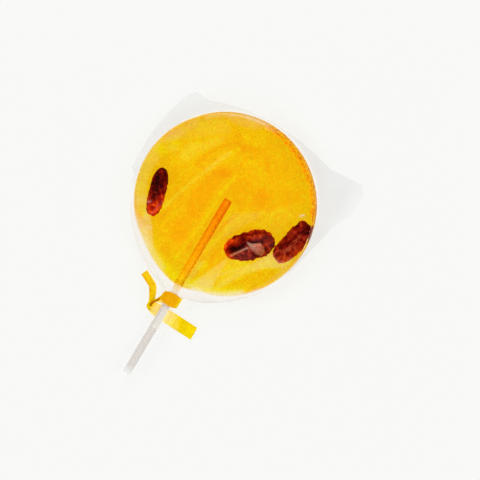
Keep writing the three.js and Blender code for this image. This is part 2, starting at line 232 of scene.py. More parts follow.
# Film bag: where its side folds run, as (distance along the stick, sideways place), from the hem to
# the corners of the closed end. Between the funnel and the fins the folds follow the candy.
FILM_MIDDLE = 3.9
FILM_TOP = 7.45
FILM_MARGIN = 1.5
FOLD_LEFT = [
    (-49.0, -4.6), (-46.0, -4.3), (-44.0, -3.9), (-42.5, -3.4), (-40.2, -2.6), (-36.2, -2.6),
    (-35.2, -4.4), (-34.4, -8.0), (-33.0, -11.6), (-30.9, -15.1), (-28.0, -18.5), (-25.3, -21.2),
    (-22.2, -24.2), (-18.2, -26.9), (-14.0, -29.3), (-10.7, -31.1), (-7.3, -31.2), (-6.3, -33.3),
    (4.6, -33.4), (12.0, -32.5), (19.0, -30.8), (25.0, -28.6), (26.6, -26.8),
]
FOLD_RIGHT = [
    (-49.0, 8.4), (-46.0, 7.8), (-44.0, 7.0), (-42.5, 5.9), (-41.0, 3.8), (-40.2, 2.6),
    (-36.2, 2.6), (-35.2, 4.4), (-34.5, 7.0), (-33.0, 10.7), (-27.5, 18.3), (-23.8, 21.6),
    (-20.4, 25.0), (-14.1, 28.0), (-8.0, 30.2), (-3.5, 31.3), (2.0, 32.4), (12.0, 34.6),
    (18.0, 37.4), (26.6, 37.9),
]
# The closed end, as (sideways place, distance along the stick)
CLOSED_END = [
    (-26.8, 26.6), (-22.0, 26.4), (-17.0, 28.3), (-10.0, 30.2), (0.0, 31.4), (11.0, 30.8),
    (17.0, 29.8), (24.0, 28.2), (35.4, 29.1), (37.9, 26.6),
]
CLOSED_END_Y = 26.6
FILM_COLUMNS = 220
FILM_ROWS = 220
# How high the neck and the skirt stand and how deep their pleats are, as (distance along the stick,
# value), how many pleats there are, and where the neck ends and the creases of the film start
NECK_HEIGHTS = [(-47.8, 2.3), (-42, 2.4), (-40, 2.55), (-36, 2.55), (-33, 3.4), (-29, 3.5)]
PLEAT_DEPTHS = [(-47.8, 0.08), (-41, 0.05), (-35.5, 0.05), (-33, 0.06), (-29, 0.03)]
PLEATS = 13
NECK_END = -36
CREASE_START = -40
# How steeply and how far out at most the film comes down beside the disc, the least that its two sheets
# stand off the middle, how far up the hem is uneven and from where on the rows bend to the closed end
FILM_STEEP = 0.9
FILM_DROP = 7.0
FILM_GAP = 0.05
HEM_DEPTH = 4
BEND_START = 8
# In how many directions the film's outline is measured
REACH_STEPS = 720
# The most that the film veils
VEIL_LIMIT = 0.92

# Stretches of film that stand at a slant and veil what is under them, white with the film's haze and
# painted reflection: how white each is, how soft its edge is, and its corners in plan
VEIL_PATCHES = [
    # Folds over the rim at the upper left, the top and the left
    (0.028, 0.5, [(-27.2, 7), (-28, 10.8), (-27, 14.4), (-25, 17.6), (-21.6, 20.6), (-20.2, 18.3),
                  (-21.9, 15.3), (-23.1, 11.9), (-25.3, 9)]),
    (0.035, 0.9, [(-26.8, 8.8), (-26.6, 11.3), (-25.2, 14.1), (-23.3, 13.7), (-24.2, 11.2),
                  (-25.8, 9.1)]),
    (0.012, 0.8, [(-24.6, 17), (-20.6, 22), (-16.5, 24.8), (-13.1, 24.2), (-10.5, 23.1), (-10, 21.5),
                  (-16.6, 16.2), (-23.3, 11), (-21.8, 15)]),
    (0.012, 0.6, [(-17, 12.9), (-14.1, 16.6), (-10.9, 19.8), (-10, 18.8), (-12.5, 14.5), (-15.1, 11)]),
    (0.013, 0.8, [(-26.4, 6), (-25.6, 8), (-22.8, 8.6), (-21.5, 7.8), (-22.9, 6.2)]),
    (0.012, 0.9, LENS),
    (0.035, 0.9, [(-16.2, 26), (-10.8, 29.6), (-4.5, 30.8), (0, 30), (-3.5, 27), (-8.4, 25.5),
                  (-11.2, 25)]),
    (0.12, 0.7, [(-10, 29.5), (-5.3, 30.8), (0, 30.4), (-4, 29), (-7.4, 28.3)]),
    (0.035, 0.7, [(-29.8, 1.3), (-27.7, 3.6), (-25.9, 1.2), (-26.7, -2.4), (-26.2, -6), (-24.7, -9.8),
                  (-23.1, -12.7), (-21.1, -15.4), (-18.6, -17.8), (-21, -20.2), (-24, -18.6),
                  (-27, -14.9), (-28.6, -10.3), (-30, -5.7), (-30.2, -1.9)]),
    (0.045, 0.6, [(-27, -13.8), (-23.6, -11.1), (-22.3, -13.4), (-25.8, -16)]),
    (0.085, 0.4, [(-21.2, -15.9), (-18.4, -17.3), (-16.6, -19.7), (-18, -22.2), (-20.7, -21.5),
                  (-20.9, -18.5)]),
    # Folds that fan out from the neck to the right
    (0.017, 0.3, [(4, -1), (9, 2.3), (12.3, 4.7), (11.6, 1.2), (9.2, -2.7), (8, -5), (6.6, -8.2),
                  (5.6, -10.5), (4.8, -7)]),
    (0.004, 0.5, [(9, 2.3), (19.2, 11.4), (22.5, 10.3), (21.5, 7.4), (20.4, 0.8), (15, 0.2), (11, 0)]),
    # Folds below the berries
    (0.06, 0.4, [(10.2, -14.3), (10.6, -17.6), (10.6, -22.3), (10.8, -26.2), (7.9, -29.2), (3.7, -29.5),
                 (5.3, -26.1), (7.6, -20.7)]),
    (0.08, 0.9, [(9.6, -23.4), (11, -26.5), (7.9, -29.2), (5.7, -28.2), (6.9, -25.5)]),
    (0.028, 0.5, [(2.7, -20.2), (4.1, -20.1), (3.9, -25), (3.2, -28.6), (2.3, -30.4), (2.1, -26.1)]),
    (0.01, 0.6, [(10.4, -15), (17.6, -12.3), (15, -17.1), (12.5, -22.3), (11.2, -26.4)]),
    (0.045, 0.5, [(20.2, -8.7), (21.9, -4.9), (24.3, -6.5), (27.9, -5.4), (27.7, -7.5), (22.6, -10.8),
                  (17.9, -16.1), (15.4, -20.5), (13.5, -24), (11.5, -26.6), (12.5, -22.3), (15, -17.1),
                  (17.6, -12.3)]),
    (0.045, 0.7, [(19.2, -9.7), (22, -5.2), (24.6, -6.3), (28.2, -5.2), (27.2, -7.4), (22.7, -10.3),
                  (19.2, -13.7)]),
    # Painted reflection on the middle berry
    (0.02, 0.25, GLARE),
    (0.012, 0.4, [(11.5, -13.8), (12.8, -10.7), (15.4, -8.6), (18.3, -9.5), (16.2, -12.5), (13.1, -14)]),
    (0.009, 0.6, [(13.5, -4.6), (16.6, -1.5), (19.8, -0.6), (21.4, -2.6), (20.4, -5), (17.5, -4.4),
                  (15, -6)]),
    # Haze and painted reflection over the rim at the lower left and the bottom
    (0.1, 0.3, [(-17, -19), (-14.7, -22.4), (-12.6, -26), (-15, -26), (-18.3, -23), (-19, -19.7)]),
    (0.32, 1.3, [(-26.5, -16.6), (-23.4, -19.3), (-20.3, -22), (-17.1, -24.2), (-13.9, -26.3),
                 (-10.8, -28.3), (-7.5, -30.2), (-4.4, -31.2), (-4.4, -33), (-13, -31), (-20, -27),
                 (-27, -20)]),
    (0.09, 0.6, [(2.5, -29.2), (4, -29.2), (9.5, -28.7), (15.7, -25.7), (21.2, -21.3), (22, -21.8),
                 (16.3, -26.7), (10.4, -30.1), (4, -31.5), (2.5, -31.8)]),
    (0.05, 0.6, [(21.2, -21.3), (25, -15.9), (27.2, -9.9), (28.3, -9.9), (26.1, -16), (22, -21.8)]),
    # White film below the rim, with a gap over the stick
    (0.5, 0.6, [(5, -36), (12, -34), (19.5, -28), (26, -21), (27, -16), (24.5, -17.8), (20.5, -22.8),
                (15.2, -26.9), (10, -29.4), (5, -31.5)]),
    (0.75, 0.9, [(-26.3, -16.7), (-23.6, -19.3), (-20.8, -22), (-17.3, -24.6), (-14.4, -26.6),
                 (-11.3, -28.8), (-7.8, -30.7), (-4.7, -31.6), (-0.8, -32), (2.3, -31.8), (5.6, -30.7),
                 (8.6, -29.4), (12, -28.7), (14, -31), (8, -36), (-8, -36.5), (-22, -31), (-32, -20)]),
    (-0.45, 0.7, [(-0.6, -32.3), (1.9, -32.3), (1.9, -35.8), (-0.6, -35.8)]),
]
# Creases that catch the light: how white, half width and the line in plan
VEIL_STREAKS = [
    (0.012, 0.5, [(-16.5, -11), (-13, 0.2), (-10.4, 7)]),
    (0.022, 0.7, [(-10.4, 7), (-8.1, 13), (-6.7, 15.8)]),
    (0.008, 0.35, [(2.4, -21.5), (3, -2.6)]),
    (0.01, 0.35, [(4, -21.8), (4.6, -2.8)]),
    (0.05, 0.3, GLARE_LINE),
    # Along the rim, and over the lemon tones at the bottom
    (0.045, 0.8, [(-30.3, 0.5), (-30.1, -4.5), (-28.7, -9.1), (-26.1, -14.6), (-22.5, -20.2),
                  (-19.1, -24.4)]),
    (0.085, 0.6, [(-19.2, 22), (-17.2, 23.9), (-14.7, 25.6), (-12.3, 26.8)]),
    (0.11, 0.5, [(-12.4, 27), (-8.6, 28.8), (-5.3, 29.9), (-1, 30.3)]),
    (0.05, 0.5, [(-1, 30.3), (3.2, 30)]),
    (0.05, 0.7, [(-29.5, 2.1), (-28.6, 7.2), (-26.8, 11.8)]),
    (0.12, 0.9, [(-21.8, -19.4), (-18.3, -22.3), (-12.6, -26), (-7, -29.2)]),
    (0.36, 0.8, [(5.5, -29.9), (9.6, -28.9), (15.5, -25.8), (20.2, -22.2)]),
    (0.05, 0.8, [(28, -9), (28.6, -3.5)]),
    (0.035, 0.45, [(5.6, -26.7), (9.7, -22.1), (14.4, -16.8), (18.5, -12.5)]),
    (0.04, 0.5, [(11.6, -28.6), (16.4, -25.8)]),
    # A glint at the right
    (0.4, 0.25, [(23.9, 10.5), (24.6, 11.2)]),
    (0.03, 0.7, [(23.8, 10.2), (25, 10.8)]),
    # Glints on the left berry
    (0.12, 0.35, [(-22.2, -12.9), (-21.5, -12.2)]),
    (0.05, 0.22, [(-18, -9.9), (-18.7, -13.5), (-19.2, -16.6)]),
]

# Grey shade along the film's lower edge, as above
SHADE_STREAKS = [
    (0.12, 0.8, [(6.6, -34.7), (10.2, -33), (13.4, -30.9)]),
    (0.07, 0.8, [(13.4, -30.9), (17.9, -27.5), (21.2, -23.9)]),
]
# Warm glare on the middle berry: patches, then a streak, as above
GLARE_PATCHES = [
    (0.45, 0.25, GLARE),
    (0.35, 0.25, [(12.9, -6.6), (14.8, -6.2), (17, -4.6), (18.3, -4.9), (16, -6.8), (14, -7.3)]),
]
GLARE_STREAKS = [(0.75, 0.32, GLARE_LINE)]

# How white the skirt is, as (sideways place, whiteness)
SKIRT_VEIL = [
    (-5, 0), (-4, 0.06), (-3, 0.12), (-1.6, 0.25), (-1, 0.12), (-0.3, 0.12), (0.4, 0.45), (1.6, 0.45),
    (2.6, 0.3), (3.6, 0.2), (4.6, 0.15), (5.6, 0.05), (8, 0.05), (9, 0),
]

# The twist tie: as in the part's source, from the lower right end to the upper left end, each with
# the direction that the face next to the neck looks in and the width, and the wrap round the neck as
# turns in degrees with how far each is shifted along the stick and the width there
TIE_THICKNESS = 0.4
TIE_NECK_X = 0.35
TIE_NECK_Y = -37.3
TIE_WRAP_RADIUS = 3.2
TIE_LOWER_END = [
    ((12.8, -44.7, 1.3), (-0.05, 0, 1), 4.7),
    ((7.5, -44.8, 0.85), (-0.05, 0, 1), 4.8),
    ((1, -44.8, 0.6), (0, 0, 1), 4.8),
    ((-2.6, -44.7, 0.8), (0, 0.15, 0.98), 4.4),
    ((-4.9, -44.5, 1.65), (0.1, 0.8, 0.6), 3.2),
    ((-5.2, -43.4, 1.75), (0.98, 0.1, 0.1), 2.2),
    ((-4.1, -41.9, 1.5), (0.6, -0.6, 0.5), 2.2),
    ((-2.1, -40.3, 0.85), (0.1, -0.2, 0.96), 3.0),
]
TIE_WRAP = [
    (-98, -1.2, 4.2), (-60, -0.3, 4.7), (-20, 0.1, 4.8), (20, 0.1, 4.8), (58, 0.1, 4.8), (96, 0, 4.6),
    (130, -0.5, 3.6), (158, -1.6, 1.5),
]
TIE_UPPER_END = [
    ((-3.2, -40.5, 4.3), (0.85, -0.5, -0.1), 0.8),
    ((-4.1, -42, 4.1), (0.9, -0.35, 0.1), 1.0),
    ((-4.8, -43.7, 3.9), (0.2, 0.9, 0.3), 1.6),
    ((-5, -42.2, 3.8), (0.85, 0.35, 0.35), 2.8),
    ((-5.8, -40, 3.6), (0.88, 0.36, 0.27), 4.4),
    ((-6.8, -38.2, 3.5), (0.86, 0.42, 0.24), 4.8),
    ((-7.5, -37.4, 3.4), (0.7, 0.65, 0.2), 4.8),
    ((-8.4, -36.9, 3.4), (0.52, 0.8, 0.18), 4.8),
    ((-12, -35.1, 3.6), (0.45, 0.84, 0.18), 4.8),
]
TIE_STEPS = 12
# Between which heights the tie begins to look double, and between which widths a twist ends
DOUBLE_HEIGHTS = (5.0, 6.2)
# A twist, where the tie narrows and stands edge-on, is painted dark brown as shade
TWIST_WIDTHS = (1.1, 1.8)
# Half of the tie's section as shares of half its width and half its thickness, with the wire's swell
TIE_SECTION = [
    (-1, 0.55), (-0.92, 1), (-0.2, 1), (-0.1, 1.5), (0.1, 1.5), (0.2, 1), (0.92, 1), (1, 0.55),
]

# Camera: the disc's centre and size in a picture of 480 by 480, the stick's slant there, how far the
# camera leans off the vertical and which way, and its distance
PICTURE = 480
DISC_CENTRE_PX = (225.3, 203.2)
MM_PER_PX = 0.331
STICK_SLANT = math.radians(59.6)
CAMERA_LEAN = math.radians(15)
CAMERA_LEAN_WAY = math.radians(35)
CAMERA_DISTANCE = 600
SENSOR = 36

# Floor and lamps: half the floor's width, and where each lamp stands round the part, how high, how far
# off, how large and how strong
FLOOR_HALF = 4000
LAMP_TURNS = {"box_a": 20, "box_b": 110, "box_c": 200, "box_d": 290}
LAMP_RISE = math.radians(42)
LAMP_DISTANCE = 1100
LAMP_SIZE = 600
LAMP_POWER = 4.0


class Signal:
    """An output of a shader node that takes part in sums and feeds other nodes."""

    def __init__(self, tree, socket=None):
        self.tree = tree
        self.socket = socket

    def node(self, kind, settings=None, inputs=None, output=0):
        """Adds a node of this kind, with its settings first and then what its sockets get."""
        added = self.tree.nodes.new(kind)
        for name, value in (settings or {}).items():
            if name == "stops":
                set_stops(added.color_ramp, value)
            else:
                setattr(added, name, value)
        for name, value in (inputs or {}).items():
            if isinstance(value, Signal):
                self.tree.links.new(value.socket, added.inputs[name])
            else:
                added.inputs[name].default_value = value
        return Signal(self.tree, added.outputs[output] if added.outputs else None)

    def maths(self, operation, first, second):
        return self.node("ShaderNodeMath", {"operation": operation}, {0: first, 1: second})

    def __add__(self, other):
        return self.maths("ADD", self, other)

    def __sub__(self, other):
        return self.maths("SUBTRACT", self, other)

    def __rsub__(self, other):
        return self.maths("SUBTRACT", other, self)

    def __mul__(self, other):
        return self.maths("MULTIPLY", self, other)

    def __truediv__(self, other):
        return self.maths("DIVIDE", self, other)

    __radd__ = __add__
    __rmul__ = __mul__

    def clamped(self):
        """This value held between 0 and 1."""
        return self.node("ShaderNodeClamp", None, {0: self})

    def between(self, low, high):
        """Colours mixed by this value: low at 0, high at 1."""
        return self.node("ShaderNodeMix", {"data_type": "RGBA"}, {0: self, 6: low, 7: high}, 2)

    def times(self, other):
        """This colour multiplied by another."""
        settings = {"data_type": "RGBA", "blend_type": "MULTIPLY"}
        return self.node("ShaderNodeMix", settings, {0: 1.0, 6: self, 7: other}, 2)

    def ramp(self, stops):
        """A colour read off a ramp by this value."""
        return self.node("ShaderNodeValToRGB", {"stops": stops}, {0: self})

    def part(self, axis):
        """One coordinate of this vector."""
        return self.node("ShaderNodeSeparateXYZ", None, {0: self}, "XYZ".index(axis))

    def fade(self, start, end):
        """0 where this value is start, 1 where it is end, and straight between them."""
        return ((self - start) / (end - start)).clamped()

    def grain(self, scale, detail, distortion=0.0):
        """Soft noise at this place."""
        return self.node("ShaderNodeTexNoise", None, {
            "Vector": self, "Scale": scale, "Detail": detail, "Distortion": distortion,
        })

    def cells(self, scale):
        """How far this place is from the middle of the nearest cell."""
        return self.node("ShaderNodeTexVoronoi", None, {"Vector": self, "Scale": scale})

    def relief(self, strength, depth):
        """The normal of a surface that this value raises, the depth in millimetres."""
        inputs = {"Strength": strength, "Distance": depth * MM, "Height": self}
        return self.node("ShaderNodeBump", None, inputs)

    def blend(self, first, second):
        """Shaders mixed by this value: first at 0, second at 1."""
        return self.node("ShaderNodeMixShader", None, {0: self, 1: first, 2: second})

    def attribute(self, name):
        """A value that the mesh holds at each point."""
        return self.node("ShaderNodeAttribute", {"attribute_name": name}, None, "Fac")

    def skin(self, inputs):
        """The shader that most finishes are made of."""
        return self.node("ShaderNodeBsdfPrincipled", None, inputs)

    def clear(self):
        """A shader that shows what lies behind it."""
        return self.node("ShaderNodeBsdfTransparent", None, {"Color": WHITE})


def set_stops(ramp, stops):
    """Puts the stops of a colour ramp in place."""
    while len(ramp.elements) > len(stops):
        ramp.elements.remove(ramp.elements[-1])
    while len(ramp.elements) < len(stops):
        ramp.elements.new(1.0)
    for element, (place, colour) in zip(ramp.elements, stops):
        element.position = place
        element.color = colour


def rgb(red, green, blue):
    """A picture's colour, 0 to 255, as a linear colour with full opacity."""
    def linear(value):
        share = value / 255
        return share / 12.92 if share <= 0.04045 else ((share + 0.055) / 1.055) ** 2.4
    return (linear(red), linear(green), linear(blue), 1.0)


def new_finish(name):
    """An empty material and the start of its nodes."""
    material = bpy.data.materials.new(name)
    material.use_nodes = True
    material.node_tree.nodes.clear()
    return material, Signal(material.node_tree)


def object_place(start):
    """A point's place on the piece, in millimetres."""
    place = start.node("ShaderNodeTexCoord", None, None, "Object")
    return start.node("ShaderNodeVectorMath", {"operation": "SCALE"}, {0: place, "Scale": 1 / MM})


def shown(material, surface, volume=None):
    """The material with a shader, and a volume if there is one, joined to its output."""
    inputs = {"Surface": surface}
    if volume:
        inputs["Volume"] = volume
    surface.node("ShaderNodeOutputMaterial", None, inputs)
    return material


def lets_lamps_through(start, glass):
    """Glass that lamps shine through as through a clear pane."""
    lamp_ray = start.node("ShaderNodeLightPath", None, None, "Is Shadow Ray")
    return lamp_ray.blend(glass, start.clear())


# Finishes

def candy_finish():
    """Clear amber sugar glass: its depth gives the colour; flow marks, painted sheen under the film's
    folds and grain vary it, and its lower part gives off a faint painted glow.
    """
    material, start = new_finish("amber_candy")
    place = object_place(start)
    fleck = (1.0 - 3.2 * place.cells(0.8)).clamped()
    uneven = (place.grain(2.0, 4.0) - 0.5) + (place.grain(0.42, 3.0, 2.0) - 0.5)
    shade = start.attribute("glow") + 0.45 * uneven + 0.25 * fleck
    tint = shade.ramp([
        (0.0, (1.0, 0.11, 0.1, 1)), (0.5, (1.0, 0.4, 0.4, 1)), (0.75, (1.0, 0.68, 0.7, 1)), (1.0, WHITE),
    ])
    dust = place.grain(2.6, 2.0).ramp([(0.34, (0.95, 0.91, 0.91, 1)), (0.5, WHITE)])
    # Painted glow: the disc's lower part towards the neck gives off a faint orange light
    warm_glow = place.part("Y").fade(12, -18) * place.part("Z").fade(4, 2)
    glass = start.skin({
        "Base Color": tint.times(dust), "Roughness": 0.03, "IOR": 1.49, "Transmission Weight": 1.0,
        "Normal": place.grain(0.3, 2.0).relief(0.2, 0.4),
        "Emission Color": warm_glow.between(BLACK, (1, 0.35, 0, 1)), "Emission Strength": 0.025,
    })
    amber = {"Color": (0.998, 0.972, 0.01, 1), "Density": 900.0}
    depth = start.node("ShaderNodeVolumeAbsorption", None, amber)
    return shown(material, lets_lamps_through(start, glass), depth)


def bubble_finish():
    """Air in the candy: a faint lens."""
    material, start = new_finish("air_bubble")
    air = start.node("ShaderNodeBsdfGlass", None, {"Color": WHITE, "Roughness": 0.0, "IOR": 0.9})
    return shown(material, lets_lamps_through(start, air))


def wall_finish():
    """Rough sugar on the disc's wall: orange beads along the right, elsewhere amber, lemon inside, with
    a painted glow, lemon on the inside and dim outside.
    """
    material, start = new_finish("sugar_wall")
    place = object_place(start)
    cells = place.cells(0.85)
    skin_tone = cells.ramp([(0.2, rgb(255, 198, 4)), (0.45, rgb(250, 172, 0)), (0.75, rgb(216, 118, 0))])
    bead_tone = cells.ramp([(0.2, rgb(252, 172, 4)), (0.7, rgb(255, 214, 30))])
    beads = start.attribute("bead").between(skin_tone, bead_tone)
    right, up = place.part("X"), place.part("Y")
    beaded = ((0.588 * right + 0.809 * up) / CANDY_RADIUS).fade(0.76, 0.84)
    outside = start.attribute("outside")
    pale = outside.between(rgb(250, 226, 140), rgb(244, 182, 40))
    # Dark red where the right berry shows through
    off_berry = (up - 7.2) / 2.3
    off_depth = (place.part("Z") - 5.0) / 3.4
    by_berry = (2.6 - 2.3 * (off_berry * off_berry + off_depth * off_depth)).clamped()
    by_berry = by_berry * right.fade(20, 25)
    # Painted glow: the wall gives off light, lemon inside away from the beads and dim brown outside and
    # on the beads, none where the right berry shows through
    glow = (beaded + outside).clamped().between(pale, (0.2, 0.11, 0, 1))
    return shown(material, start.skin({
        "Base Color": by_berry.between(beaded.between(pale, beads), rgb(120, 28, 10)), "Roughness": 0.7,
        "Specular IOR Level": 0.0, "Emission Color": by_berry.between(glow, BLACK),
        "Emission Strength": 0.3,
    }))


def berry_finish():
    """Shrivelled dark red skin: black painted shade in the creases, brown-red with painted highlights on
    the crests, orange-red where thin with a painted glow of light through it, and painted warm glare.
    """
    material, start = new_finish("dried_berry")
    place = object_place(start)
    mottle = place.grain(0.8, 3.0)
    # Painted shade and highlights: darker where the skin lies deep in its creases, lighter on the
    # crests, over the skin's own tone
    height = start.attribute("crest") + 0.8 * (mottle - 0.5)
    skin_tone = height.ramp([
        (0.0, rgb(26, 0, 0)), (0.3, rgb(62, 1, 1)), (0.55, rgb(100, 11, 3)), (0.8, rgb(134, 30, 10)),
        (1.0, rgb(166, 64, 34)),
    ])
    # Painted glow of light shining through the thin flesh
    glowing = height.ramp([(0.1, rgb(120, 8, 2)), (0.45, rgb(180, 38, 5)), (0.85, rgb(230, 102, 20))])
    thin = (start.attribute("thin_flesh") * (0.5 + 0.9 * mottle)).clamped()
    glare = (start.attribute("glare") * (0.4 + 1.2 * mottle)).clamped()
    return shown(material, start.skin({
        "Base Color": glare.between(thin.between(skin_tone, glowing), rgb(196, 146, 122)),
        "Roughness": 0.34, "Normal": place.grain(3.5, 3.0).relief(0.3, 0.2), "Specular IOR Level": 0.03,
    }))


def stick_finish():
    """Rolled paper: grey-white outside with a painted white-out towards the free end; where the candy
    holds it, painted lemon to orange light of the stick lit through the candy, with painted shading
    across it and a painted glow on the stub.
    """
    material, start = new_finish("paper_stick")
    place = object_place(start)
    along = place.part("Y")
    in_candy = along.fade(-CANDY_RADIUS - 7, -CANDY_RADIUS - 3)
    deep = along.fade(-21, -3)
    fibre = place.grain(1.2, 5.0)
    weave = fibre.between(rgb(212, 204, 196), rgb(240, 234, 228))
    # Painted white-out: the paper turns near white towards its free end, as if washed out by light
    paper = along.fade(STICK_LOW.y, STICK_LOW.y + 3.8).between(rgb(252, 252, 250), weave)
    # Where the candy holds it: painted amber light and shade, deeper orange further in, with painted
    # shading from the middle to the sides
    side = (place.part("X") - STICK_OFF - STICK_LEAN * along) / STICK_RADIUS
    core = deep.between(rgb(228, 204, 18), rgb(226, 172, 8))
    edges = deep.between(rgb(240, 208, 14), rgb(236, 146, 4))
    amber = (side * side + 0.3 * (fibre - 0.5)).clamped().between(core, edges)
    # Painted glow on the stub just outside the candy
    stub_glow = along.fade(-CANDY_RADIUS - 1, -CANDY_RADIUS - 2.5) * in_candy
    return shown(material, start.skin({
        "Base Color": in_candy.between(paper, amber), "Roughness": 0.7, "Normal": fibre.relief(0.2, 0.1),
        "Specular IOR Level": 0.2, "Emission Color": stub_glow.between(BLACK, (1, 0.72, 0.08, 1)),
        "Emission Strength": 0.3,
    }))


def film_finish():
    """Thin clear film: mostly see-through, glossy at a slant, veiled where it is gathered or creased by
    haze and painted reflection that gives off a little painted light, grey in the fins and as painted
    shade along its lower edge.
    """
    material, start = new_finish("clear_film")
    grey = start.attribute("grey")
    # Haze and painted reflection: white that also gives off a little painted light, and grey in the fins
    # and as painted shade along the lower edge
    haze_and_sheen = start.skin({
        "Base Color": grey.between((0.61, 0.585, 0.535, 1), (0.38, 0.4, 0.44, 1)), "Roughness": 0.5,
        "Specular IOR Level": 0.0, "Emission Color": grey.between((1, 0.98, 0.93, 1), BLACK),
        "Emission Strength": 0.33,
    })
    veiled = start.attribute("veil").blend(start.clear(), haze_and_sheen)
    gloss = start.skin({"Base Color": WHITE, "Metallic": 1.0, "Roughness": 0.25})
    facing = start.node("ShaderNodeLayerWeight", None, {"Blend": 0.5}, "Facing")
    slant = 0.004 + 0.03 * facing * facing * facing
    return shown(material, slant.blend(veiled, gloss))


def tie_finish():
    """Yellow coated paper with a satin gloss, deeper where it goes double, with painted dark brown shade
    where it twists edge-on and a painted glow where it lies low under the skirt.
    """
    material, start = new_finish("yellow_tie")
    place = object_place(start)
    fibre = place.grain(1.1, 4.0)
    single_tone = fibre.between(rgb(252, 210, 0), rgb(255, 232, 2))
    double_tone = fibre.between(rgb(250, 156, 0), rgb(255, 196, 4))
    tone = start.attribute("double").between(single_tone, double_tone)
    # Painted glow where the tie lies low under the skirt
    below = place.part("Z").fade(2.6, 1.8) * place.part("X").fade(7, 4)
    # Painted dark brown shade where the tie twists edge-on
    return shown(material, start.skin({
        "Base Color": start.attribute("twist").between(tone, rgb(190, 104, 0)), "Roughness": 0.5,
        "Normal": fibre.relief(0.2, 0.1), "Specular IOR Level": 0.03,
        "Emission Color": below.between(BLACK, rgb(255, 226, 60)), "Emission Strength": 0.28,
    }))


def floor_finish():
    """A plain pale sheet that is softly lit from below."""
    material, start = new_finish("pale_floor")
    return shown(material, start.skin({
        "Base Color": (0.16, 0.16, 0.16, 1), "Roughness": 0.9, "Specular IOR Level": 0.0,
        "Emission Color": (0.985, 0.995, 0.97, 1), "Emission Strength": 0.8,
    }))


# Pieces

def in_scene(name, data):
    """An object of a mesh, a lamp or a camera, linked to the scene."""
    added = bpy.data.objects.new(name, data)
    bpy.context.collection.objects.link(added)
    return added


def finished_mesh(name, bm):
    """A mesh in metres from a bmesh in millimetres, which is freed."""
    bmesh.ops.scale(bm, vec=(MM, MM, MM), verts=bm.verts)
    mesh = bpy.data.meshes.new(name)
    bm.to_mesh(mesh)
    bm.free()
    return mesh


def place_piece(mesh, material, node):
    """Shades a mesh, gives it its material and has it ride on the part, for a node if one is named."""
    mesh.shade_smooth()
    mesh.materials.append(material)
    piece = in_scene(mesh.name, mesh)
    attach(piece, "root")
    if node:
        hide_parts(node)


def smooth(value, low, high):
    """0 below low, 1 above high and a soft step between them, for numbers and arrays."""
    share = np.clip((value - low) / (high - low), 0.0, 1.0)
    return share * share * (3 - 2 * share)


def gap_to_line(points, line):
    """How far each point in plan is from a bent line."""
    gaps = np.full(len(points), np.inf)
    for start, end in zip(line, line[1:]):
        start, edge = np.array(start), np.subtract(end, start)
        share = np.clip((points - start) @ edge / (edge @ edge), 0, 1)
        gaps = np.minimum(gaps, np.linalg.norm(points - start - share[:, None] * edge, axis=1))
    return gaps


def inside_outline(points, corners):
    """Which points in plan lie inside an outline."""
    inside = np.zeros(len(points), bool)
    for (ax, ay), (bx, by) in zip(corners, corners[1:] + corners[:1]):
        if ay == by:
            continue
        crosses = (ay > points[:, 1]) != (by > points[:, 1])
        inside ^= crosses & (points[:, 0] < (bx - ax) * (points[:, 1] - ay) / (by - ay) + ax)
    return inside


def add_patches(points, patches):
    """The sum of soft-edged patches at each point in plan."""
    total = np.zeros(len(points))
    for strength, soft, corners in patches:
        gap = gap_to_line(points, corners + corners[:1])
        signed = np.where(inside_outline(points, corners), gap, -gap)
        total += strength * smooth(signed, -soft, soft)
    return total


def add_streaks(points, streaks):
    """The sum of soft streaks at each point in plan, fading out at either end."""
    total = np.zeros(len(points))
    for strength, half_width, line in streaks:
        total += strength * np.exp(-(gap_to_line(points, line) / half_width) ** 2)
    return total


def plan_of(verts):
    """Where vertices lie in plan."""
    return np.array([vert.co.xy for vert in verts])


def round_axis(reach, turn, height):
    """A point at a distance from the candy's axis, in a direction and at a height."""
    return Vector((reach * math.cos(turn), reach * math.sin(turn), height))


def noise_at(points, scale, seed):
    """Soft noise from -1 to 1 at each point in plan."""
    return np.array([noise.noise(Vector((x * scale, y * scale, seed))) for x, y in points])


def candy_glow(points):
    """How bright the amber is at each point in plan, from 0, deep, to 1, pale lemon."""
    glow = 0.54 + 0.05 * noise_at(points, 0.12, 1.5) + 0.05 * noise_at(points, 0.33, 4.5)
    # The marks, partly painted sheen under the film's folds and creases
    glow += add_patches(points, FLOW_PATCHES) + add_streaks(points, FLOW_STREAKS)
    # Paler along the rim at the bottom, and a little towards the bottom and the right
    reach = np.maximum(np.linalg.norm(points, axis=1), 1)
    glow += 0.28 * smooth(reach, 26, 30) * smooth(-points[:, 1] / reach, 0.65, 0.85)
    return glow + 0.1 * smooth(-points[:, 1], 17, 29) + 0.04 * smooth(points[:, 0], 10, 16)


def spread_rim(bm):
    """Moves a piece of the disc to its place and pulls its rim out where the stick leaves it."""
    for vert in bm.verts:
        width = PULL_WIDTHS[0 if vert.co.x < 0 else 1]
        pull = NECK_PULL * math.exp(-((vert.co.x / width) ** 2)) * smooth(-vert.co.y, 24, DISC_RADIUS)
        vert.co += DISC_SHIFT
        vert.co.y -= pull


def spin_outline(bm, outline):
    """Spins an outline of (radius, height) corners round the disc's axis."""
    corners = [bm.verts.new((radius, 0, height)) for radius, height in outline]
    edges = [bm.edges.new(pair) for pair in zip(corners, corners[1:])]
    bmesh.ops.spin(
        bm, geom=corners + edges, cent=(0, 0, 0), axis=(0, 0, 1), angle=math.tau,
        steps=CANDY_STEPS, use_merge=True,
    )
    bmesh.ops.remove_doubles(bm, verts=bm.verts, dist=MERGE)
    bmesh.ops.recalc_face_normals(bm, faces=bm.faces)


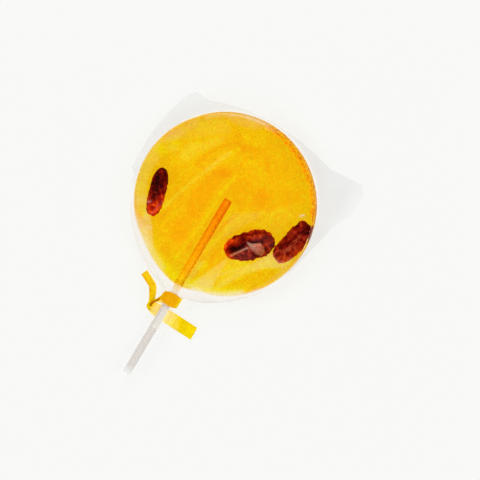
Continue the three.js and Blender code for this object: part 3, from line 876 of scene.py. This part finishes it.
def candy_disc():
    """The cast disc: a spun outline with rounded rims and a faintly uneven top."""
    bm = bmesh.new()
    under = [(DISC_RADIUS * step / UNDER_RINGS, CANDY_LOW.z) for step in range(UNDER_RINGS + 1)]
    rise = (CANDY_HIGH.z - CANDY_LOW.z) / WALL_STEPS
    side = [(DISC_RADIUS, CANDY_LOW.z + rise * step) for step in range(1, WALL_STEPS + 1)]
    inset = DISC_RADIUS - TOP_INSET
    over = [(inset * step / CANDY_RINGS, CANDY_HIGH.z) for step in range(CANDY_RINGS, -1, -1)]
    spin_outline(bm, under + side + over)
    for height, size in ((CANDY_LOW.z, CANDY_LOWER_EDGE), (CANDY_HIGH.z, CANDY_EDGE)):
        rim = [
            edge for edge in bm.edges
            if all(
                vert.co.xy.length > DISC_RADIUS - NEAR and abs(vert.co.z - height) < NEAR
                for vert in edge.verts
            )
        ]
        bmesh.ops.bevel(
            bm, geom=rim, offset=size, segments=5, profile=0.5, affect="EDGES", material=-1,
            clamp_overlap=False,
        )
    spread_rim(bm)
    glow_layer = bm.verts.layers.float.new("glow")
    for vert, bright in zip(bm.verts, candy_glow(plan_of(bm.verts))):
        top = smooth(vert.co.z, CANDY_MIDDLE, CANDY_HIGH.z - 0.5)
        vert[glow_layer] = top * bright + (1 - top)
        wave = TOP_WAVE * noise.noise(vert.co * 0.11)
        vert.co.z += wave * smooth(vert.co.z, CANDY_HIGH.z - 0.1, CANDY_HIGH.z)
    place_piece(finished_mesh("candy_disc", bm), candy_finish(), "candy")


def candy_wall():
    """The grainy skin of the disc's wall, a thin band with an uneven outside, and beads in its rim."""
    draw = random.Random(5)
    bm = bmesh.new()
    low, high = CANDY_LOW.z + CANDY_LOWER_EDGE, CANDY_HIGH.z - 0.6 * CANDY_EDGE
    heights = [low + (high - low) * step / WALL_STEPS for step in range(WALL_STEPS + 1)]
    inner, outer = (DISC_RADIUS + off for off in WALL_SKIN)
    band = [(inner, height) for height in heights] + [(outer, height) for height in reversed(heights)]
    bead_layer = bm.verts.layers.float.new("bead")
    outside_layer = bm.verts.layers.float.new("outside")
    spin_outline(bm, band + band[:1])
    for vert in bm.verts:
        if vert.co.xy.length > (inner + outer) / 2:
            grains = noise.noise(vert.co * 0.9) + 0.6 * noise.noise(vert.co * 2.1)
            vert.co.xy *= 1 + WALL_GRAIN * grains
            vert[outside_layer] = 1.0
    for step in range(RIM_BEADS):
        share = (step + draw.uniform(-0.3, 0.3)) / (RIM_BEADS - 1)
        turn = math.radians(BEADS_FROM + BEADS_OVER * share)
        size = draw.uniform(*BEAD_SIZES)
        reach, height = DISC_RADIUS - BEAD_WALL_GAP - size, CANDY_HIGH.z - BEAD_TOP_GAP - size
        place = Matrix.Translation(round_axis(reach, turn, height))
        ball = bmesh.ops.create_icosphere(bm, subdivisions=2, radius=size, matrix=place)
        for vert in ball["verts"]:
            vert[bead_layer] = 1.0
    spread_rim(bm)
    place_piece(finished_mesh("candy_wall", bm), wall_finish(), None)


def berry_frame(berry):
    """A berry's centre and its half sizes along its length, its width and its depth."""
    lengthwise = Vector((*berry["along"], 0)).normalized()
    crosswise = Vector((-lengthwise.y, lengthwise.x, 0))
    length, width, depth = berry["half"]
    centre = Vector((*berry["at"], CANDY_HIGH.z + berry["proud"] - depth))
    return centre, lengthwise * length, crosswise * width, Vector((0, 0, depth))


def ridge(place):
    """A sharp ridge in soft noise: 1 on the ridge, 0 well off it."""
    return max(1 - 2.2 * abs(noise.noise(place)), 0) ** 2


def spots_at(ball, spots):
    """The sum of soft spots at a point of a berry."""
    return sum(
        much * math.exp(-((ball.x - along) / length) ** 2 - ((ball.y - across) / width) ** 2)
        for much, along, across, length, width in spots
    )


def dried_berry(name, berry, material):
    """A shrivelled berry: a blunt ball with deep folds along it, small wrinkles and red thin ends, the
    red a painted glow of light through the flesh.
    """
    bm = bmesh.new()
    bmesh.ops.create_icosphere(bm, subdivisions=BERRY_DETAIL, radius=1)
    thin = bm.verts.layers.float.new("thin_flesh")
    crest = bm.verts.layers.float.new("crest")
    glare = bm.verts.layers.float.new("glare")
    centre, lengthwise, crosswise, upwards = berry_frame(berry)
    seed = Vector((berry["seed"], 0, 0))
    length, width, depth = berry["half"]
    for vert in bm.verts:
        ball = vert.co.copy()
        blunt = sum(abs(part) ** berry["blunt"] for part in ball) ** (-1 / berry["blunt"])
        place = Vector((ball.x * length, ball.y * width, ball.z * depth))
        place += 1.1 * noise.noise_vector(place * 0.35 + seed)
        # The relief: long folds, wrinkles and fine lines, and lumps under them
        fold = ridge(Vector((place.x * 0.22, place.y * 0.6, place.z * 0.6)) + seed)
        wrinkle = ridge(place * 0.5 + seed * 2)
        fine = ridge(place * 1.3 + seed * 3)
        lump = noise.noise(ball * 1.8 + seed * 2) + 0.5 * noise.noise(place * 0.9 + seed * 5)
        height = 0.46 * fold + 0.36 * wrinkle + 0.18 * fine
        shrink = blunt * (0.9 + 0.18 * height + 0.08 * lump)
        girth = (1 - berry["taper"] * ball.x) * shrink
        # The looks: red where the flesh is thin, a painted glow of light through it, and how light the
        # skin is, with the relief's height added as painted shade in the creases and painted highlights
        # on the crests
        rim = math.hypot(ball.x, ball.y)
        ragged = 0.5 + 0.5 * noise.noise(ball * 3.0 - seed)
        near_end = smooth(-ball.x, berry["red_end"] - 0.25, berry["red_end"] + 0.2)
        red_edge = berry["red_edges"][0 if ball.y > 0 else 1] * ragged * smooth(rim, 0.84, 1.0)
        vert[thin] = max(red_edge, near_end) + spots_at(ball, berry["red_spots"])
        tone = berry["tone"] + spots_at(ball, berry["spots"])
        vert[crest] = 0.5 + 0.9 * (height - 0.4) + 0.15 * lump + tone
        reach = 0.55 * blunt + 0.45 * shrink
        vert.co = (
            centre + lengthwise * (ball.x * reach) + crosswise * (ball.y * girth)
            + upwards * (ball.z * shrink)
        )
        # No berry stands out past the wall
        over_rim = (vert.co - DISC_SHIFT).xy.length / (DISC_RADIUS + BERRY_PAST_RIM)
        vert.co.xy /= max(over_rim, 1)
    points = plan_of(bm.verts)
    shine = add_patches(points, GLARE_PATCHES) + add_streaks(points, GLARE_STREAKS)
    for vert, share in zip(bm.verts, shine):
        vert[glare] = share
    place_piece(finished_mesh(f"{name}_skin", bm), material, name)


def in_berry(point):
    """True if a point lies in a berry, grown a little."""
    for berry in BERRIES.values():
        centre, *axes = berry_frame(berry)
        shares = [(point - centre).dot(axis) / axis.length_squared for axis in axes]
        if sum(share * share for share in shares) < BERRY_GROWTH ** 2:
            return True
    return False


def candy_bubbles():
    """Tiny air bubbles in the candy, clear of the berries and the stick."""
    draw = random.Random(7)
    ball = bmesh.new()
    bmesh.ops.create_icosphere(ball, subdivisions=2, radius=1)
    ball.verts.index_update()
    corners = np.array([vert.co for vert in ball.verts])
    faces = np.array([[vert.index for vert in face.verts] for face in ball.faces])
    ball.free()
    spheres = []
    while len(spheres) < BUBBLES:
        size = draw.uniform(*(SMALL_SIZES if draw.random() < SMALL_SHARE else LARGE_SIZES))
        reach = (CANDY_RADIUS - BUBBLE_GAP) * math.sqrt(draw.random())
        turn = draw.uniform(0, math.tau)
        height = draw.uniform(CANDY_LOW.z + BUBBLE_GAP, CANDY_HIGH.z - BUBBLE_TOP_GAP)
        point = round_axis(reach, turn, height)
        beside = abs(point.x) - STICK_RADIUS < BUBBLE_STICK_GAP
        by_stick = beside and point.y - STICK_HIGH.y < BUBBLE_STICK_GAP
        if not by_stick and not in_berry(point):
            spheres.append((point, size))
    points = np.concatenate([corners * size + np.array(point) for point, size in spheres]) * MM
    steps = np.arange(len(spheres))[:, None, None] * len(corners)
    mesh = bpy.data.meshes.new("candy_bubbles")
    mesh.from_pydata(points.tolist(), [], (faces[None] + steps).reshape(-1, 3).tolist())
    place_piece(mesh, bubble_finish(), None)


def paper_stick():
    """The stick: a round rod with softened ends."""
    bm = bmesh.new()
    length = STICK_HIGH.y - STICK_LOW.y
    middle = Vector((0, (STICK_HIGH.y + STICK_LOW.y) / 2, CANDY_MIDDLE))
    turn = Matrix.Rotation(math.radians(90), 4, "X")
    bmesh.ops.create_cone(
        bm, cap_ends=True, segments=STICK_SIDES, radius1=STICK_RADIUS, radius2=STICK_RADIUS,
        depth=length, matrix=Matrix.Translation(middle) @ turn,
    )
    rims = [edge for edge in bm.edges if abs(edge.verts[0].co.y - edge.verts[1].co.y) < NEAR]
    bmesh.ops.bevel(
        bm, geom=rims, offset=STICK_EDGE, segments=3, profile=0.5, affect="EDGES", material=-1,
    )
    for vert in bm.verts:
        vert.co.x += STICK_OFF + STICK_LEAN * vert.co.y
    place_piece(finished_mesh("paper_stick", bm), stick_finish(), "stick")


def read_line(line, place):
    """The value of a bent line, given as (place, value) points, at a place."""
    return float(np.interp(place, [at for at, _ in line], [value for _, value in line]))


def film_reach(angle):
    """How far the film's outline is from the candy's centre, in a direction of the plan."""
    way = Vector((math.cos(angle), math.sin(angle)))
    reach = CANDY_RADIUS + FILM_MARGIN
    folds = [[Vector((x, y)) for y, x in fold if y > NECK_END] for fold in (FOLD_LEFT, FOLD_RIGHT)]
    for line in (*folds, [Vector(corner) for corner in CLOSED_END]):
        for start, end in zip(line, line[1:]):
            edge = end - start
            det = way.x * edge.y - way.y * edge.x
            if abs(det) < 1e-9:
                continue
            share = (start.x * way.y - start.y * way.x) / det
            distance = (start.x * edge.y - start.y * edge.x) / det
            if 0 <= share <= 1 and distance > 0:
                reach = max(reach, distance)
    return reach


# The film's outline, measured once
REACHES = [film_reach(math.tau * step / REACH_STEPS) for step in range(REACH_STEPS)]


def film_tent(x, y):
    """How far the film stands off its middle plane over and round the candy, as a share."""
    radius = math.hypot(x - DISC_SHIFT.x, y - DISC_SHIFT.y)
    reach = REACHES[round(math.atan2(y, x) / math.tau * REACH_STEPS) % REACH_STEPS]
    # The film comes down over the drop, in a rounder way where that is short
    drop = min(FILM_STEEP * (reach - DISC_RADIUS), FILM_DROP)
    slope = min(max((radius - DISC_RADIUS) / drop, 0.0), 1.0)
    full = 1.15 + min(max((5 - drop) / 2.4, 0.0), 1.0)
    return (1 - slope ** full) ** (1 / full)


def film_neck(x, y):
    """How far the gathered neck and the skirt stand off the stick's line, with their pleats."""
    left, right = read_line(FOLD_LEFT, y), read_line(FOLD_RIGHT, y)
    half = (right - left) / 2
    across = (x - (left + right) / 2) / half
    round_share = math.sqrt(max(1 - across * across, 0.0))
    pleat = math.cos(PLEATS * math.asin(min(max(across, -1), 1)) + 0.7 * math.sin(y))
    height = read_line(NECK_HEIGHTS, y) * (1 + read_line(PLEAT_DEPTHS, y) * pleat)
    return height * round_share * (1 - smooth(y, -31, -27))


def film_crease(x, y):
    """Shallow creases that fan out from the neck over the candy and end in ripples in the fins."""
    turn = math.atan2(x, y - CREASE_START)
    away = math.hypot(x, y - CREASE_START)
    wide = noise.noise(Vector((turn * 9, away * 0.03, 2.0)))
    narrow = noise.noise(Vector((turn * 21, away * 0.05, 7.0)))
    ripple = noise.noise(Vector((x * 0.22, y * 0.22, 11.0)))
    return 0.14 * (wide + 0.5 * narrow) + 0.1 * ripple


def film_veil(points, side):
    """How white or grey the film is at each point in plan, and which share of that is grey."""
    x, y = points[:, 0], points[:, 1]
    reach = np.linalg.norm(points, axis=1)
    start = CANDY_RADIUS - 0.2 + 0.5 * (0.42 * x + 0.91 * y) / np.maximum(reach, 1)
    fin = smooth(reach, start, start + 0.7) * smooth(y, -16, -9)
    stripes = np.array([noise.noise(Vector((math.atan2(b, a) * 7, 0.0, 3.0 + side))) for a, b in points])
    veil = fin * (0.052 + 0.025 * smooth(x, 0, 25) - 0.05 * smooth(x, 31.5, 37.5) + 0.02 * stripes)
    # The shown side has the marks, the gathered neck and the skirt
    if side > 0:
        veil += (add_patches(points, VEIL_PATCHES) + add_streaks(points, VEIL_STREAKS)) * (1 - fin)
        veil += 0.3 * smooth(-y, 32, 34) * (1 - smooth(-y, 38, 41))
        places, skirt = zip(*SKIRT_VEIL)
        veil += smooth(-y, 39.5, 41.5) * np.interp(x, places, skirt)
    shade = add_streaks(points, SHADE_STREAKS)
    return np.clip(veil + shade, 0, VEIL_LIMIT), np.maximum(fin, 1.5 * shade)


def film_wrap():
    """The bag: two sheets joined at the side folds and the closed end, gathered at the neck."""
    bm = bmesh.new()
    veil_layer = bm.verts.layers.float.new("veil")
    grey_layer = bm.verts.layers.float.new("grey")
    hem, end = FOLD_LEFT[0][0], CLOSED_END_Y
    for side in (1, -1):
        sheet = bmesh.ops.create_grid(bm, x_segments=FILM_COLUMNS, y_segments=FILM_ROWS, size=1)
        for vert in sheet["verts"]:
            across, along = vert.co.x, (vert.co.y + 1) / 2
            row = hem + (end - hem) * along
            left, right = read_line(FOLD_LEFT, row), read_line(FOLD_RIGHT, row)
            spread = 0.5 * (math.sin(across * math.pi / 2) + across)
            x = left + (right - left) * (spread + 1) / 2
            y = row + (read_line(CLOSED_END, x) - end) * smooth(row, BEND_START, end)
            uneven = 0.9 * noise.noise(Vector((x * 0.4, 0, 5.0))) - 0.4
            y += uneven * (1 - smooth(row, hem, hem + HEM_DEPTH))
            tent = film_tent(x, y) * (FILM_TOP - FILM_MIDDLE)
            crease = film_crease(x, y) * smooth(y, NECK_END, -30) * smooth(tent, 0.1, 1.5)
            height = max(tent + (crease if side > 0 else 0), film_neck(x, y))
            edge = min(1 - abs(across), 1 - along) < 1e-6
            vert.co = (x, y, FILM_MIDDLE + (0 if edge else side * max(height, FILM_GAP)))
        veil, grey = film_veil(plan_of(sheet["verts"]), side)
        for vert, white, dull in zip(sheet["verts"], veil, grey):
            vert[veil_layer] = white
            vert[grey_layer] = dull
    bmesh.ops.remove_doubles(bm, verts=bm.verts, dist=MERGE)
    bmesh.ops.recalc_face_normals(bm, faces=bm.faces)
    place_piece(finished_mesh("film_wrap", bm), film_finish(), "film_bag")


def smooth_line(points, steps):
    """Points on a smooth line through others, with steps between each two."""
    ends = [points[0] * 2 - points[1], *points, points[-1] * 2 - points[-2]]
    line = []
    for before, start, end, after in zip(ends, ends[1:], ends[2:], ends[3:]):
        for step in range(steps):
            t = step / steps
            line.append(
                0.5 * (
                    2 * start + (end - before) * t + (2 * before - 5 * start + 4 * end - after) * t ** 2
                    + (3 * start - before - 3 * end + after) * t ** 3
                )
            )
    return [*line, points[-1]]


def tie_stations():
    """The tie's line and the way its inner face looks: lower end, wrap round the neck, upper end."""
    wrap = []
    for degrees, lag, width in TIE_WRAP:
        turn = math.radians(degrees)
        outward = Vector((math.cos(turn), 0, math.sin(turn)))
        centre = Vector((TIE_NECK_X, TIE_NECK_Y + lag, CANDY_MIDDLE))
        wrap.append((centre + outward * TIE_WRAP_RADIUS, -outward, width))
    return [*TIE_LOWER_END, *wrap, *TIE_UPPER_END]


def tie_strip():
    """The flat twist tie: a section with a wire's swell, drawn along its line."""
    stations = tie_stations()
    line = smooth_line([Vector(at) for at, _, _ in stations], TIE_STEPS)
    faces = smooth_line([Vector(face) for _, face, _ in stations], TIE_STEPS)
    places = np.arange(len(line)) / TIE_STEPS
    widths = np.interp(places, range(len(stations)), [width for *_, width in stations])
    section = TIE_SECTION + [(across, -rise) for across, rise in reversed(TIE_SECTION)]
    bm = bmesh.new()
    double_layer = bm.verts.layers.float.new("double")
    twist_layer = bm.verts.layers.float.new("twist")
    ring = [bm.verts.new((0, 0, 0)) for _ in section]
    end_face = bm.faces.new(ring)
    for step, (point, face, width) in enumerate(zip(line, faces, widths)):
        tangent = (line[min(step + 1, len(line) - 1)] - line[max(step - 1, 0)]).normalized()
        normal = (face - tangent * face.dot(tangent)).normalized()
        across = tangent.cross(normal)
        if step > 0:
            new = bmesh.ops.extrude_face_region(bm, geom=[end_face], use_keep_orig=step == 1)
            end_face = next(item for item in new["geom"] if isinstance(item, bmesh.types.BMFace))
            ring = list(end_face.verts)
        for vert, (side, rise) in zip(ring, section):
            vert.co = point + across * (side * width / 2) + normal * (rise * TIE_THICKNESS / 2)
            vert[double_layer] = smooth(vert.co.z, *DOUBLE_HEIGHTS)
            # Where the tie narrows at a twist the finish paints it dark brown as shade
            vert[twist_layer] = 1 - smooth(width, *TWIST_WIDTHS)
    bmesh.ops.recalc_face_normals(bm, faces=bm.faces)
    place_piece(finished_mesh("tie_strip", bm), tie_finish(), "twist_tie")


# Studio

def studio_floor():
    """A wide pale floor under the part."""
    bm = bmesh.new()
    bmesh.ops.create_grid(bm, x_segments=1, y_segments=1, size=FLOOR_HALF)
    mesh = finished_mesh("studio_floor", bm)
    mesh.materials.append(floor_finish())
    floor = in_scene(mesh.name, mesh)


def picture_axes():
    """The directions of the part's plan that lie to the right and up in the picture."""
    turn = Matrix.Rotation(math.radians(90) - STICK_SLANT, 3, "Z")
    return turn @ Vector((1, 0, 0)), turn @ Vector((0, 1, 0))


def aim_camera():
    """A camera that looks down on the part as in the picture."""
    right, up = picture_axes()
    shift = [(PICTURE / 2 - place) * MM_PER_PX for place in DISC_CENTRE_PX]
    target = right * shift[0] - up * shift[1] + Vector((0, 0, CANDY_MIDDLE))
    leaning = right * math.cos(CAMERA_LEAN_WAY) + up * math.sin(CAMERA_LEAN_WAY)
    back = leaning * math.sin(CAMERA_LEAN) + Vector((0, 0, math.cos(CAMERA_LEAN)))
    upright = (up - back * up.dot(back)).normalized()
    sideways = upright.cross(back)
    camera = in_scene("camera", bpy.data.cameras.new("camera"))
    turned = Matrix((sideways, upright, back)).transposed().to_4x4()
    camera.matrix_world = Matrix.Translation((target + back * CAMERA_DISTANCE) * MM) @ turned
    camera.data.sensor_width = SENSOR
    camera.data.lens = SENSOR * CAMERA_DISTANCE / (PICTURE * MM_PER_PX)
    camera.data.clip_start = 0.01
    bpy.context.scene.camera = camera


def softbox(name, turn):
    """A square lamp that faces the part from a direction."""
    lamp = bpy.data.lights.new(name, "AREA")
    lamp.size = LAMP_SIZE * MM
    lamp.energy = LAMP_POWER
    holder = in_scene(name, lamp)
    level = math.cos(LAMP_RISE)
    way = Vector((math.cos(turn) * level, math.sin(turn) * level, math.sin(LAMP_RISE)))
    holder.location = way * LAMP_DISTANCE * MM
    holder.rotation_mode = "QUATERNION"
    holder.rotation_quaternion = way.to_track_quat("Z", "Y")


def studio_light():
    """Soft boxes round the part and a sky that is bright low down and dim overhead."""
    for name, degrees in LAMP_TURNS.items():
        softbox(name, math.radians(degrees))
    world = bpy.data.worlds.new("studio_sky")
    bpy.context.scene.world = world
    world.use_nodes = True
    world.node_tree.nodes.clear()
    start = Signal(world.node_tree)
    height = start.node("ShaderNodeTexCoord", None, None, "Generated").part("Z")
    sky = height.ramp([
        (0.0, (0.95, 0.95, 0.95, 1)), (0.4, (0.5, 0.5, 0.5, 1)), (0.8, (0.02, 0.02, 0.02, 1)),
    ])
    light = start.node("ShaderNodeBackground", None, {"Color": sky, "Strength": 0.7})
    start.node("ShaderNodeOutputWorld", None, {"Surface": light})


def render_looks():
    """Plain colours and enough bounces for glass in glass."""
    scene = bpy.context.scene
    scene.view_settings.view_transform = "Standard"
    scene.cycles.max_bounces = 24
    scene.cycles.transmission_bounces = 20
    scene.cycles.transparent_max_bounces = 24
    scene.cycles.use_denoising = True


berry_skin = berry_finish()

candy_disc()
candy_wall()
candy_bubbles()
for berry_name, berry_facts in BERRIES.items():
    dried_berry(berry_name, berry_facts, berry_skin)
paper_stick()
film_wrap()
tie_strip()
studio_floor()
aim_camera()
studio_light()
render_looks()
